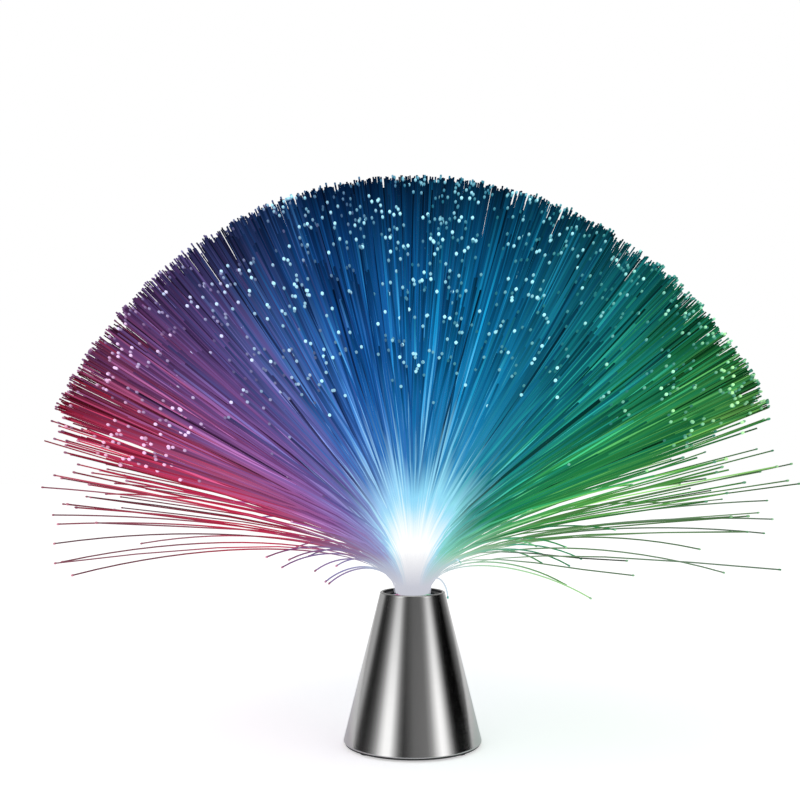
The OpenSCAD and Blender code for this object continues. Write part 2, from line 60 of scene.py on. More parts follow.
PHOTO_PX = 800          # width and height of the photograph
LENS_PX = 1199.0        # the lens in pixels of the photograph
HORIZON_PX = 425.0      # the horizon's row in the photograph
AXIS_PX = 412.5         # the column that the cone's axis lies on
SENSOR_MM = 36.0
CAMERA_DISTANCE = 0.7
CAMERA_HEIGHT = 0.185


def add_object(name, data):
    thing = bpy.data.objects.new(name, data)
    bpy.context.scene.collection.objects.link(thing)
    return thing


def new_mesh(name, points, faces, material):
    mesh = bpy.data.meshes.new(name)
    mesh.from_pydata(points, [], faces)
    mesh.materials.append(material)
    return mesh


def make_camera():
    """The photograph's view of the lamp."""
    data = bpy.data.cameras.new("camera")
    data.sensor_width = SENSOR_MM
    data.lens = LENS_PX / PHOTO_PX * SENSOR_MM
    data.clip_start = 0.01
    data.clip_end = 20
    camera = add_object("camera", data)
    pitch = math.atan((HORIZON_PX - PHOTO_PX / 2) / LENS_PX)
    aside = (AXIS_PX - PHOTO_PX / 2) / LENS_PX * CAMERA_DISTANCE
    camera.location = (-aside, -CAMERA_DISTANCE, CAMERA_HEIGHT)
    camera.rotation_euler = (math.radians(90) + pitch, 0, 0)
    bpy.context.scene.camera = camera


# ---------- node helpers ----------


def new_material(name):
    """A material with its nodes, links and Principled shader."""
    material = bpy.data.materials.new(name)
    material.use_nodes = True
    nodes, links = material.node_tree.nodes, material.node_tree.links
    return material, nodes, links, nodes["Principled BSDF"]


def bare_material(name):
    """A material whose nodes are cleared, with its nodes, links and surface socket."""
    material = bpy.data.materials.new(name)
    material.use_nodes = True
    nodes, links = material.node_tree.nodes, material.node_tree.links
    nodes.clear()
    output = nodes.new("ShaderNodeOutputMaterial")
    return material, nodes, links, output.inputs["Surface"]


def attribute(nodes, name):
    node = nodes.new("ShaderNodeAttribute")
    node.attribute_name = name
    return node.outputs["Fac"]


def math_node(nodes, links, operation, a, b=None, c=None):
    node = nodes.new("ShaderNodeMath")
    node.operation = operation
    for socket, value in zip(node.inputs, (a, b, c)):
        if value is None:
            continue
        if isinstance(value, (int, float)):
            socket.default_value = value
        else:
            links.new(value, socket)
    return node.outputs[0]


def ramp(nodes, links, value, stops, smooth=False):
    """A colour ramp with (place, colour) stops."""
    node = nodes.new("ShaderNodeValToRGB")
    node.color_ramp.interpolation = "EASE" if smooth else "LINEAR"
    elements = node.color_ramp.elements
    elements[0].position, elements[1].position = stops[0][0], stops[-1][0]
    elements[0].color, elements[1].color = (*stops[0][1], 1), (*stops[-1][1], 1)
    for place, colour in stops[1:-1]:
        elements.new(place).color = (*colour, 1)
    links.new(value, node.inputs["Fac"])
    return node.outputs["Color"]


def grey(level):
    return (level, level, level)


def grey_ramp(nodes, links, value, stops):
    """A ramp with (place, grey level) stops."""
    return ramp(nodes, links, value, [(place, grey(level)) for place, level in stops])


def mix(nodes, links, factor, a, b, blend="MIX"):
    node = nodes.new("ShaderNodeMix")
    node.data_type = "RGBA"
    node.blend_type = blend
    for socket, value in ((node.inputs[0], factor), (node.inputs[6], a), (node.inputs[7], b)):
        if isinstance(value, (int, float)):
            socket.default_value = value
        elif isinstance(value, tuple):
            socket.default_value = (*value, 1)
        else:
            links.new(value, socket)
    return node.outputs[2]


def multiply(nodes, links, a, b):
    return mix(nodes, links, 1.0, a, b, "MULTIPLY")


def place_in_box(nodes, links):
    """Where a point lies between the two ends of the piece, from 0 to 1 on each axis."""
    place = nodes.new("ShaderNodeTexCoord")
    split = nodes.new("ShaderNodeSeparateXYZ")
    links.new(place.outputs["Generated"], split.inputs[0])
    return split.outputs


def noise(nodes, links, scale, stretch=(1, 1, 1), detail=3.0):
    """Noise over the piece's own space, in waves per metre, stretched along its axes."""
    place = nodes.new("ShaderNodeTexCoord")
    mapping = nodes.new("ShaderNodeMapping")
    mapping.inputs["Scale"].default_value = stretch
    texture = nodes.new("ShaderNodeTexNoise")
    texture.inputs["Scale"].default_value = scale
    texture.inputs["Detail"].default_value = detail
    links.new(place.outputs["Object"], mapping.inputs["Vector"])
    links.new(mapping.outputs["Vector"], texture.inputs["Vector"])
    return texture.outputs["Fac"]


def cell_distance(nodes, links, scale, feature="F1"):
    """A pattern of cells over the piece's own space: how far a point is from the middle of its
    cell, or from the cell's edge."""
    place = nodes.new("ShaderNodeTexCoord")
    cells = nodes.new("ShaderNodeTexVoronoi")
    cells.feature = feature
    cells.inputs["Scale"].default_value = scale
    links.new(place.outputs["Object"], cells.inputs["Vector"])
    return cells.outputs["Distance"]


def bump(nodes, links, shader, height, distance, strength=1.0):
    node = nodes.new("ShaderNodeBump")
    node.inputs["Strength"].default_value = strength
    node.inputs["Distance"].default_value = distance
    links.new(height, node.inputs["Height"])
    links.new(node.outputs["Normal"], shader.inputs["Normal"])


# ---------- materials ----------


def steel_material():
    """Polished steel with faint turning lines round the cone."""
    material, nodes, links, shader = new_material("polished_steel")
    shader.inputs["Metallic"].default_value = 1.0
    lines = noise(nodes, links, 30, (1, 1, 220), 2)
    patches = noise(nodes, links, 18, (1, 1, 0.4))
    links.new(ramp(nodes, links, patches, [(0.3, grey(0.6)), (0.7, (0.66, 0.655, 0.65))]),
              shader.inputs["Base Color"])
    links.new(grey_ramp(nodes, links, lines, [(0.3, 0.1), (0.7, 0.16)]),
              shader.inputs["Roughness"])
    bump(nodes, links, shader, lines, 0.01 * MM, 0.3)
    return material


def metal_material(name, colour, roughness):
    """Plated metal that is a little duller and darker in patches."""
    material, nodes, links, shader = new_material(name)
    shader.inputs["Metallic"].default_value = 1.0
    wear = noise(nodes, links, 900, detail=4)
    dark = tuple(0.8 * c for c in colour)
    links.new(ramp(nodes, links, wear, [(0.35, dark), (0.65, colour)]),
              shader.inputs["Base Color"])
    links.new(grey_ramp(nodes, links, wear, [(0.3, roughness + 0.1), (0.7, roughness)]),
              shader.inputs["Roughness"])
    return material


def plastic_material(name, colour, roughness, grain=0.02 * MM):
    """Moulded plastic: a fine spark-eroded grain and a little variation in tone."""
    material, nodes, links, shader = new_material(name)
    tone = noise(nodes, links, 120)
    fine = noise(nodes, links, 5000, detail=2)
    light = tuple(min(1, 1.25 * c + 0.004) for c in colour)
    links.new(ramp(nodes, links, tone, [(0.3, colour), (0.75, light)]),
              shader.inputs["Base Color"])
    rough = [(0.3, roughness - 0.06), (0.7, roughness + 0.06)]
    links.new(grey_ramp(nodes, links, fine, rough), shader.inputs["Roughness"])
    bump(nodes, links, shader, fine, grain, 0.5)
    return material


def lens_material(name, colour, glow):
    """Clear coloured resin, lit from inside, brightest low down where the chip sits."""
    material, nodes, links, shader = new_material(name)
    height = place_in_box(nodes, links)["Z"]
    chip = tuple(0.5 + 0.5 * c for c in glow)
    links.new(ramp(nodes, links, height, [(0.0, colour), (0.35, chip), (0.8, glow)], True),
              shader.inputs["Emission Color"])
    shader.inputs["Emission Strength"].default_value = 2.0
    links.new(mix(nodes, links, height, colour, tuple(0.7 * c for c in colour)),
              shader.inputs["Base Color"])
    shader.inputs["Roughness"].default_value = 0.08
    shader.inputs["Transmission Weight"].default_value = 0.4
    return material


def board_material():
    """Green laminate with paler copper runs under the lacquer."""
    material, nodes, links, shader = new_material("board_laminate")
    weave = noise(nodes, links, 2500, detail=1)
    runs = cell_distance(nodes, links, 220, "DISTANCE_TO_EDGE")
    track = ramp(nodes, links, runs, [(0.05, (0.05, 0.3, 0.12)), (0.09, (0.01, 0.13, 0.05))])
    links.new(mix(nodes, links, weave, track, (0.01, 0.16, 0.06)), shader.inputs["Base Color"])
    shader.inputs["Roughness"].default_value = 0.3
    return material


def cell_material():
    """Foil jacket: copper-coloured towards the button, dark below, bare steel at the ends."""
    material, nodes, links, shader = new_material("cell_jacket")
    steel, dark, copper = grey(0.6), (0.02, 0.02, 0.025), (0.6, 0.32, 0.12)
    links.new(ramp(nodes, links, place_in_box(nodes, links)["Y"],
                   [(0.0, steel), (0.03, dark), (0.66, dark), (0.67, copper), (0.96, copper),
                    (0.97, steel)]), shader.inputs["Base Color"])
    shader.inputs["Metallic"].default_value = 0.7
    scuffs = noise(nodes, links, 400, detail=5)
    links.new(grey_ramp(nodes, links, scuffs, [(0.3, 0.25), (0.7, 0.4)]),
              shader.inputs["Roughness"])
    return material


def foam_material():
    """Black foam with open cells, painted darker in the middle of each cell as shade in its pit."""
    material, nodes, links, shader = new_material("pad_foam")
    cells = cell_distance(nodes, links, 1800)
    # painted shade: darker in the middle of each cell, where its pit is deepest
    links.new(grey_ramp(nodes, links, cells, [(0.1, 0.03), (0.6, 0.1)]),
              shader.inputs["Base Color"])
    shader.inputs["Roughness"].default_value = 0.95
    bump(nodes, links, shader, cells, 0.2 * MM)
    return material


def bundle_material():
    """Glued fibre ends: a close pattern of round ends, lit from below, in three colours across."""
    material, nodes, links, shader = new_material("bundle_ends")
    zones = ramp(nodes, links, place_in_box(nodes, links)["X"],
                 [(0.1, (0.75, 0.2, 0.45)), (0.45, (0.35, 0.6, 0.95)), (0.9, (0.25, 0.8, 0.45))])
    ends = grey_ramp(nodes, links, cell_distance(nodes, links, 1500), [(0.25, 1.0), (0.6, 0.25)])
    lit = multiply(nodes, links, zones, ends)
    links.new(lit, shader.inputs["Base Color"])
    links.new(lit, shader.inputs["Emission Color"])
    shader.inputs["Emission Strength"].default_value = 0.8
    shader.inputs["Roughness"].default_value = 0.3
    return material


# Colours of the fibres by the way they point, from far left through upright to far right:
# along most of a fibre, along the brightest ones, and low down, where the light of the
# neighbours mixes in
HUES = [
    (0.00, (0.15, 0.07, 0.085)), (0.09, (0.20, 0.055, 0.08)), (0.14, (0.50, 0.018, 0.06)),
    (0.17, (0.43, 0.022, 0.075)), (0.205, (0.26, 0.045, 0.125)), (0.24, (0.21, 0.055, 0.215)),
    (0.30, (0.14, 0.085, 0.33)), (0.345, (0.085, 0.11, 0.39)), (0.38, (0.035, 0.115, 0.44)),
    (0.43, (0.006, 0.10, 0.44)), (0.50, (0.005, 0.115, 0.38)), (0.57, (0.004, 0.19, 0.47)),
    (0.63, (0.006, 0.18, 0.33)), (0.70, (0.006, 0.24, 0.25)), (0.74, (0.009, 0.23, 0.11)),
    (0.78, (0.012, 0.23, 0.06)), (0.84, (0.05, 0.27, 0.05)), (0.90, (0.09, 0.20, 0.08)),
    (1.00, (0.13, 0.19, 0.14)),
]
BRIGHT_HUES = [
    (0.00, (0.50, 0.28, 0.33)), (0.09, (0.60, 0.24, 0.32)), (0.14, (0.90, 0.10, 0.20)),
    (0.17, (0.82, 0.14, 0.30)), (0.24, (0.50, 0.26, 0.62)), (0.31, (0.38, 0.37, 0.80)),
    (0.37, (0.14, 0.48, 0.90)), (0.50, (0.015, 0.52, 0.88)), (0.57, (0.02, 0.64, 0.92)),
    (0.63, (0.05, 0.64, 0.75)), (0.70, (0.05, 0.64, 0.50)), (0.77, (0.10, 0.66, 0.26)),
    (0.84, (0.42, 0.82, 0.18)), (0.90, (0.45, 0.75, 0.28)), (1.00, (0.42, 0.60, 0.42)),
]
LOW_HUES = [
    (0.00, (0.36, 0.28, 0.38)), (0.17, (0.25, 0.17, 0.28)), (0.25, (0.27, 0.23, 0.41)),
    (0.32, (0.31, 0.38, 0.66)), (0.38, (0.33, 0.58, 0.86)), (0.50, (0.28, 0.67, 0.91)),
    (0.62, (0.30, 0.72, 0.86)), (0.69, (0.24, 0.66, 0.66)), (0.76, (0.24, 0.60, 0.46)),
    (0.84, (0.40, 0.62, 0.45)), (1.00, (0.50, 0.62, 0.54)),
]
# Colours of the cut ends: those that shine at the eye, and the dull ones
SPARK_HUES = [
    (0.00, (0.85, 0.50, 0.58)), (0.14, (1.00, 0.44, 0.58)), (0.22, (0.90, 0.58, 0.90)),
    (0.31, (0.62, 0.72, 1.00)), (0.38, (0.44, 0.84, 1.00)), (0.62, (0.40, 0.88, 1.00)),
    (0.70, (0.40, 0.92, 0.78)), (0.78, (0.42, 0.95, 0.42)), (0.86, (0.58, 0.92, 0.40)),
    (1.00, (0.66, 0.85, 0.68)),
]
DULL_HUES = [(0.1, (0.48, 0.13, 0.20)), (0.3, (0.26, 0.18, 0.46)), (0.5, (0.04, 0.30, 0.50)),
             (0.7, (0.04, 0.40, 0.36)), (0.9, (0.16, 0.46, 0.22))]


def fibre_material():
    """Clear acrylic fibre lit from its root. The colour comes from where a point lies along its
    fibre, the way the fibre points, and how much light it carries."""
    material, nodes, links, shader = new_material("lit_fibre")
    along = attribute(nodes, "along")
    glow = attribute(nodes, "glow")
    shade = attribute(nodes, "shade")
    tip = attribute(nodes, "tip")
    points_to = attribute(nodes, "hue")
    # lighter fibres carry more light, darker ones nearly none
    brightest = math_node(nodes, links, "MULTIPLY", shade,
                          math_node(nodes, links, "MULTIPLY", shade, 0.36))
    level = math_node(nodes, links, "MULTIPLY_ADD", shade, 1.5, 0.2)
    tint = mix(nodes, links, brightest, ramp(nodes, links, points_to, HUES),
               ramp(nodes, links, points_to, BRIGHT_HUES))
    # darker towards the rim, most of all at the top
    darker = grey_ramp(nodes, links, along,
                       [(0.0, 1.0), (0.6, 1.0), (0.76, 0.7), (0.84, 0.36), (0.91, 0.1)])
    at_top = grey_ramp(nodes, links, points_to,
                       [(0.2, 0.6), (0.42, 0.95), (0.56, 0.95), (0.8, 0.6)])
    fade = mix(nodes, links, at_top, (1, 1, 1), darker)
    carried = multiply(nodes, links, multiply(nodes, links, tint, fade), level)
    # towards the mouth: mixed colours at the sides, light cyan and white in the middle
    hot = ramp(nodes, links, glow, [(0.4, (0.28, 0.66, 0.90)), (0.6, (0.45, 0.77, 0.92)),
                                    (0.8, (0.76, 0.89, 0.95)), (0.97, (1.0, 1.0, 1.0))])
    light = mix(nodes, links, grey_ramp(nodes, links, glow, [(0.4, 0.0), (0.6, 1.0)]),
                ramp(nodes, links, points_to, LOW_HUES), hot)
    amount = grey_ramp(nodes, links, glow, [(0.0, 0.0), (0.15, 0.35), (0.4, 1.0)])
    lit = mix(nodes, links, amount, carried, light)
    # greyish in the glued bundle
    glued = grey_ramp(nodes, links, along, [(0.02, 1.0), (0.14, 0.0)])
    body = mix(nodes, links, glued, lit, (0.55, 0.56, 0.63))
    # the cut end shines
    end = mix(nodes, links, grey_ramp(nodes, links, tip, [(0.2, 0.0), (0.9, 1.0)]),
              ramp(nodes, links, points_to, DULL_HUES), ramp(nodes, links, points_to, SPARK_HUES))
    spark = multiply(nodes, links, end, math_node(nodes, links, "MULTIPLY_ADD", tip, 0.8, 0.35))
    shown = mix(nodes, links, math_node(nodes, links, "GREATER_THAN", tip, 0.01), body, spark)
    links.new(shown, shader.inputs["Emission Color"])
    shader.inputs["Emission Strength"].default_value = 1.0
    links.new(multiply(nodes, links, shown, grey(0.1)), shader.inputs["Base Color"])
    shader.inputs["Roughness"].default_value = 0.5
    shader.inputs["IOR"].default_value = 1.49
    shader.inputs["Specular IOR Level"].default_value = 0.01
    return material


# ---------- mesh helpers ----------


def make_piece(name, points, faces, body, material, replaces):
    """A smooth mesh piece that rides on a body."""
    mesh = new_mesh(name, points, faces, material)
    mesh.polygons.foreach_set("use_smooth", [True] * len(mesh.polygons))
    piece = add_object(name, mesh)
    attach(piece, body)
    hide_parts(*replaces)
    return piece


def arc(centre, radius, start, end, count):
    """Profile points on an arc, as (radius, height), with angles in degrees."""
    angles = np.radians(np.linspace(start, end, count))
    return [(centre[0] + radius * math.cos(a), centre[1] + radius * math.sin(a)) for a in angles]


def revolved(profile, sides, offset=(0, 0), closed=True):
    """Points and faces of a profile turned round an upright axis: a closed ring, or an edge
    whose ends are capped flat."""
    turn = np.linspace(0, 2 * math.pi, sides, endpoint=False)
    rows = len(profile)
    points = [(offset[0] + r * math.cos(a), offset[1] + r * math.sin(a), z)
              for a in turn for r, z in profile]
    faces = []
    for i in range(sides):
        for j in range(rows if closed else rows - 1):
            a, b = i * rows, (i + 1) % sides * rows
            faces.append((a + j, b + j, b + (j + 1) % rows, a + (j + 1) % rows))
    if not closed:
        faces.append(tuple(i * rows for i in reversed(range(sides))))
        faces.append(tuple(i * rows + rows - 1 for i in range(sides)))
    return points, faces


def rounded_slab(r_in, r_out, low, high, edge, count=4):
    """Closed profile of a ring with rounded edges."""
    return (arc((r_out - edge, low + edge), edge, -90, 0, count)
            + arc((r_out - edge, high - edge), edge, 0, 90, count)
            + arc((r_in + edge, high - edge), edge, 90, 180, count)
            + arc((r_in + edge, low + edge), edge, 180, 270, count))


# ---------- cone, collar and feet ----------

WALL = 0.8 * MM
MOUTH_R = 19 * MM
LIP_W = 1.8 * MM        # how far the lip turns in
ROLL_R = 0.5 * MM       # of the rolled foot
CONE_SIDES = 256
COLLAR_HOLE_R = 12.9 * MM
COLLAR_EDGE = 0.25 * MM
COLLAR_SIDES = 128
FOOT_R = 3.5 * MM
FOOT_EDGE = 0.35 * MM
FOOT_SIDES = 40


def steel_cone(material):
    """The spun shell: rolled foot, straight wall, and a lip rolled in at the mouth."""
    foot_r = shell_high.x
    foot_z = shell_low.z + ROLL_R
    top_z = shell_high.z - WALL
    wall = [(foot_r + (MOUTH_R - foot_r) * t, foot_z + (top_z - foot_z) * t)
            for t in (0, 0.004, *np.linspace(0.03, 0.97, 20), 0.997, 1)]
    inner = [(r - WALL, z) for r, z in reversed(wall)]
    lip = arc((MOUTH_R - WALL, top_z), WALL, 8, 90, 7)
    lip_end = arc((MOUTH_R - LIP_W + WALL / 2, top_z + WALL / 2), WALL / 2, 90, 270, 7)
    roll = arc((foot_r - ROLL_R, foot_z), ROLL_R, -205, -10, 16)
    points, faces = revolved(wall + lip + lip_end + inner[1:] + roll, CONE_SIDES)
    make_piece("steel_cone", points, faces, "base", material, ("cone_shell",))


def collar_ring(material):
    low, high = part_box("mouth_collar")
    profile = rounded_slab(COLLAR_HOLE_R, high.x, low.z, high.z, COLLAR_EDGE)
    points, faces = revolved(profile, COLLAR_SIDES)
    make_piece("collar_ring", points, faces, "base", material,
               ("mouth_collar",))


def round_feet(material):
    """Four feet with soft edges, where the frame's feet are."""
    low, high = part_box("rubber_feet")
    profile = (arc((FOOT_R - FOOT_EDGE, low.z + FOOT_EDGE), FOOT_EDGE, -90, 0, 5)
               + [(FOOT_R, high.z)])
    points, faces = [], []
    for sx in (-1, 1):
        for sy in (-1, 1):
            centre = (sx * (high.x - FOOT_R), sy * (high.y - FOOT_R))
            p, f = revolved(profile, FOOT_SIDES, centre, closed=False)
            faces += [tuple(len(points) + i for i in face) for face in f]
            points += p
    make_piece("round_feet", points, faces, "base", material, ("rubber_feet",))


# ---------- fibres ----------

FIBRES = 6000
RIM_FIBRES = 2000       # dark ones that fill the fan's rim
TUFTS = 190
REACH = 240 * MM
LEAN_FRONT = 58         # how far the outermost fibres lean to the front and the back, in degrees
LEAN_SIDE = 87          # and to the sides
LEAN_RIM = 62           # and those of the rim
RISE = 32 * MM          # how far a root pulls its fibre straight up
RUN = 75 * MM           # how far its tip pulls it along its end
DROOP = 12              # how far the flattest tips hang, in degrees
UNEVEN = 0.007          # by what part of their reach the fibres of the fan's edge end unevenly
THIN_LEFT = 60          # from what lean the fan thins out to the left, in degrees
THIN_RIGHT = 56         # and to the right
ROOT_RADIUS = 0.14 * MM
FIBRE_RADIUS = 0.5 * MM
STRAY_RADIUS = 0.55 * MM
BEAD_RADIUS = 0.76 * MM
GOLDEN_ANGLE = math.radians(137.50776)
FULL_LENGTH = 0.26      # the stretch of fibre that "along" and the bake map span
GROUPS = ("crimson", "violet", "blue", "azure", "teal", "green")
HUE_STEPS = 60
SHADES = 9
SPARKS = 7
CORNERS = 4

CURVE_ROWS = np.array([0, 0.05, 0.11, 0.18, 0.26, 0.36, 0.48, 0.62, 0.8, 1])
STRAY_ROWS = np.linspace(0, 1, 22)
# rows of the shining end, where the cut has swollen: how far past the tip, how wide, how bright
BEAD_ROWS = ((-0.5, 0.5, 0.25), (0.1, 0.85, 0.6), (0.8, 1.0, 1.0), (1.4, 0.6, 1.0))
BEAD_CORNERS = 6


def steps(values, count):
    """Values from 0 to 1 rounded to so many levels."""
    return np.round(np.clip(values, 0, 1) * (count - 1)) / (count - 1)


def part_way(value, start, width):
    """How far a value is through a stretch, from 0 to 1."""
    return np.clip((value - start) / width, 0, 1)


def unit(v):
    return v / np.linalg.norm(v, axis=-1, keepdims=True)


def to_way(lean, azimuth):
    """Directions of these leans, in degrees, and azimuths."""
    lean = np.radians(lean)
    return np.stack([np.sin(lean) * np.cos(azimuth), np.sin(lean) * np.sin(azimuth),
                     np.cos(lean)], -1)


def lean_most(azimuth):
    return LEAN_FRONT + (LEAN_SIDE - LEAN_FRONT) * np.abs(np.cos(azimuth)) ** 1.5


def reach_at(lean):
    """How far fibres reach at a lean in degrees: less to the sides, least for the lowest."""
    flat = part_way(lean, 74, 16)
    return REACH * (1 - 0.07 * np.sin(np.radians(lean)) ** 2) * (1 - 0.2 * flat ** 2)


def in_tufts(way, lean):
    """Directions pulled together in loose tufts, and each one's tone, which is how much more
    light than most its tuft carries."""
    tufts = way[rng.choice(FIBRES, TUFTS, replace=False)]
    near = np.argmax(way @ tufts.T, 1)
    tone = rng.normal(0, 0.09, TUFTS)[near]
    pull = (0.45 * rng.random(FIBRES) * np.clip(lean / 40, 0.2, 1))[:, None]
    return unit(way * (1 - pull) + tufts[near] * pull), tone


def fan_ways():
    """Root, lean, azimuth, reach and tone of the fibres of the fan."""
    i = np.arange(FIBRES)
    u = np.sqrt((i + 0.5) / FIBRES)
    azimuth = i * GOLDEN_ANGLE
    root = 0.97 * BUNDLE_R * np.stack([u * np.cos(azimuth), u * np.sin(azimuth)], 1)
    # more of them stand upright than lean out
    lean = np.degrees(np.arccos(1 - u ** 2.4 * (1 - np.cos(np.radians(lean_most(azimuth))))))
    azimuth = azimuth + rng.normal(0, 0.06, FIBRES)
    lean = np.clip(lean + rng.normal(0, 1.5, FIBRES), 0, 86.5)
    way, tone = in_tufts(to_way(lean, azimuth), lean)
    lean = np.degrees(np.arccos(np.clip(way[:, 2], -1, 1)))
    azimuth = np.arctan2(way[:, 1], way[:, 0])
    # most end at the fan's edge, some short of it, and a few half way
    spread = 1 - UNEVEN * rng.random(FIBRES)
    kind = rng.random(FIBRES)
    spread = np.where(kind < 0.16, 0.82 + 0.15 * rng.random(FIBRES), spread)
    spread = np.where(kind < 0.02, 0.5 + 0.3 * rng.random(FIBRES), spread)
    # the fan thins out towards its level sides, and ends there less evenly
    seen = np.degrees(np.arctan2(np.abs(way[:, 0]), way[:, 2]))
    beyond = seen - np.where(way[:, 0] > 0, THIN_RIGHT, THIN_LEFT)
    keep = rng.random(FIBRES) > 0.86 * part_way(beyond, 0, 7) + 0.1 * part_way(beyond, 8, 8)
    spread = np.where(seen > 62, spread * (1 - 0.16 * rng.random(FIBRES) ** 2), spread)
    return [values[keep] for values in (root, lean, azimuth, reach_at(lean) * spread, tone)]


def rim_ways():
    """The same of the dark fibres that fill the fan's rim."""
    azimuth = np.where(rng.random(RIM_FIBRES) < 0.5, 0, math.pi)
    azimuth = azimuth + rng.normal(0, 0.2, RIM_FIBRES)
    lean = LEAN_RIM * rng.random(RIM_FIBRES) ** 0.8
    reach = reach_at(lean) * (1 - UNEVEN * rng.random(RIM_FIBRES))
    root = (BUNDLE_R * 0.9 * lean / 90)[:, None] * np.stack([np.cos(azimuth), np.sin(azimuth)], 1)
    return [root, lean, azimuth, reach, np.zeros(RIM_FIBRES)]


def bezier(points, rows):
    """Places and directions at some rows of cubic curves, steered by four arrays of points."""
    t = rows[None, :, None]
    p = [x[:, None, :] for x in points]
    line = ((1 - t) ** 3 * p[0] + 3 * t * (1 - t) ** 2 * p[1] + 3 * t ** 2 * (1 - t) * p[2]
            + t ** 3 * p[3])
    way = ((1 - t) ** 2 * (p[1] - p[0]) + 2 * t * (1 - t) * (p[2] - p[1])
           + t ** 2 * (p[3] - p[2]))
    return line, unit(way)


def fibre_curves(root, lean, azimuth, reach):
    """Centre lines and directions of the fibres: cubic curves that rise, bend out and droop."""
    start = np.concatenate([root, np.full((len(root), 1), ROOT_Z)], 1)
    mouth = np.array([0, 0, ROOT_Z])
    end = mouth + reach[:, None] * to_way(lean, azimuth)
    droop = DROOP * (lean / 90) ** 2 + rng.normal(0, 1.2, len(lean))
    bend = rng.normal(0, 0.035, len(lean))
    rise = RISE * (1 + 0.35 * rng.random(len(lean)))
    pull = RUN * np.minimum(1, reach / REACH)
    first = start + rise[:, None] * np.array([0, 0, 1])
    second = end - pull[:, None] * to_way(lean + droop, azimuth + bend)
    return bezier((start, first, second, end), CURVE_ROWS)


def tube_rows(line, way, azimuth, radius, corners):
    """Corner points round each row, as [fibre, row, corner, xyz]."""
    side = np.stack([-np.sin(azimuth), np.cos(azimuth), np.zeros(len(azimuth))], 1)[:, None, :]
    side = unit(side - (side * way).sum(-1, keepdims=True) * way)
    other = np.cross(way, side)
    angle = np.arange(corners) * 2 * math.pi / corners + math.pi / 4
    return (line[:, :, None, :]
            + radius[:, :, None, None] * (np.cos(angle)[:, None] * side[:, :, None, :]
                                          + np.sin(angle)[:, None] * other[:, :, None, :]))


def tube_faces(first, rows, corners):
    """Faces of one closed tube whose first point has this index."""
    faces = [(first + corners * r + k, first + corners * r + (k + 1) % corners,
              first + corners * (r + 1) + (k + 1) % corners, first + corners * (r + 1) + k)
             for r in range(rows - 1) for k in range(corners)]
    last = first + corners * (rows - 1)
    return faces + [tuple(first + k for k in reversed(range(corners))),
                    tuple(last + k for k in range(corners))]


def glow_at(length, hue, shade):
    """How white-hot a fibre looks: most a little above the mouth, further up in the middle, and
    furthest in the fibres that carry most light."""
    middle = 1 - part_way(np.abs(2 * hue - 1)[:, None], 0.2, 0.4)
    middle = middle * middle * (3 - 2 * middle)
    further = 1 + 1.3 * np.clip(shade - 0.5, 0, 1)[:, None]
    whole = (24 + 20 * middle) * MM
    dying = (58 + 30 * middle) * MM * further
    return (1 - part_way(length, whole, dying)) ** 1.2 * (0.45 + 0.55 * middle)


def store_values(piece, values):
    """Gives the piece what its material reads, from values for each row of tubes and beads."""
    for name, (on_tubes, on_beads) in values.items():
        data = np.concatenate([np.repeat(on_tubes.reshape(-1), CORNERS),
                               np.repeat(on_beads.reshape(-1), BEAD_CORNERS)])
        layer = piece.data.attributes.new(name, "FLOAT", "POINT")
        layer.data.foreach_set("value", data.astype(np.float32))


def store_bake_map(piece, tubes, beads, strips):
    """Gives the piece its bake map, from the places to the right and the strips of its tubes
    and beads."""
    uv = []
    for (right, strip), corners in ((tubes, CORNERS), (beads, BEAD_CORNERS)):
        up = (strip + 0.15 + 0.7 * np.arange(corners) / (corners - 1)) / strips
        uv.append(np.stack(np.broadcast_arrays(right[:, :, None], up), -1).reshape(-1, 2))
    uv = np.concatenate(uv)
    corner_points = np.zeros(len(piece.data.loops), np.int32)
    piece.data.loops.foreach_get("vertex_index", corner_points)
    layer = piece.data.uv_layers.new(name="OFBake")
    layer.data.foreach_set("uv", uv[corner_points].astype(np.float32).reshape(-1))


